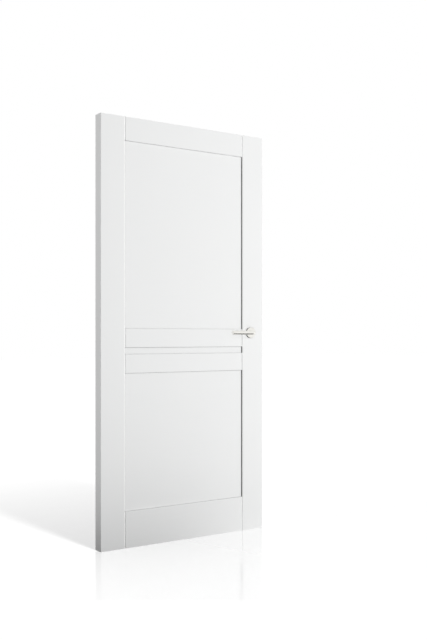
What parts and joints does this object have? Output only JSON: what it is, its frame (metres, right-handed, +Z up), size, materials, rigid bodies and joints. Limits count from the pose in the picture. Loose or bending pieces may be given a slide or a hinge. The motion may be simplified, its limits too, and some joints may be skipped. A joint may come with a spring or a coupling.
{
  "type": "interior door",
  "caption": "White painted panel door leaf with stiles, rails, recessed flat panels, a tubular latch and round bar levers on round roses.",
  "frame": {"origin": "foot of the leaf at the hinge edge, in the middle of its thickness", "axes": "+X from the hinge edge to the lock edge, +Y from the front face to the back face, +Z up"},
  "size_m": [0.924, 0.148, 1.981],
  "materials": {
    "painted_wood": "white satin paint",
    "dowel_wood": "bare beech",
    "satin_nickel": "satin nickel plate",
    "zinc_casting": "as cast",
    "zinc_plated_steel": "bright zinc plate",
    "spring_steel": "drawn wire",
    "black_steel": "black oxide",
    "nylon": "natural"
  },
  "bodies": {
    "leaf": {"hinge_stile": "painted_wood", "lock_stile": "painted_wood", "top_rail": "painted_wood", "upper_mid_rail": "painted_wood", "lower_mid_rail": "painted_wood", "bottom_rail": "painted_wood", "upper_panel": "painted_wood", "centre_strip": "painted_wood", "lower_panel": "painted_wood", "top_rail_dowels": "dowel_wood", "upper_mid_rail_dowels": "dowel_wood", "lower_mid_rail_dowels": "dowel_wood", "bottom_rail_dowels": "dowel_wood", "front_rose_cover": "satin_nickel", "front_rose_base": "zinc_casting", "front_lever_bush": "nylon", "front_return_spring": "spring_steel", "back_rose_cover": "satin_nickel", "back_rose_base": "zinc_casting", "back_lever_bush": "nylon", "back_return_spring": "spring_steel", "rose_bolts": "zinc_plated_steel", "latch_case": "zinc_plated_steel", "latch_cover": "zinc_plated_steel", "latch_rivets": "zinc_plated_steel", "bolt_spring": "spring_steel", "latch_faceplate": "satin_nickel", "faceplate_screws": "satin_nickel"},
    "lever_set": {"front_lever": "satin_nickel", "back_lever": "satin_nickel", "spindle": "zinc_plated_steel", "latch_hub": "zinc_casting", "front_grub_screw": "black_steel", "back_grub_screw": "black_steel", "front_spring_plate": "zinc_plated_steel", "back_spring_plate": "zinc_plated_steel"},
    "bolt": {"latch_bolt": "satin_nickel", "latch_tail": "zinc_plated_steel"}
  },
  "joints": [
    {"name": "lever_turn", "type": "hinge", "parent": "leaf", "child": "lever_set", "pos_m": [0.84, 0, 0.991], "axis": [0, -1, 0], "range_deg": [0, 55], "stiffness_Nm_per_rad": 0.7, "springref_deg": -57.3, "deforming": ["front_return_spring", "back_return_spring"]},
    {"name": "bolt_slide", "type": "slide", "parent": "leaf", "child": "bolt", "axis": [-1, 0, 0], "range_m": [0, 0.009], "deforming": ["bolt_spring"]}
  ],
  "couplings": [
    {"joint": "bolt_slide", "follows": "lever_turn", "m_per_rad": 0.00937}
  ]
}
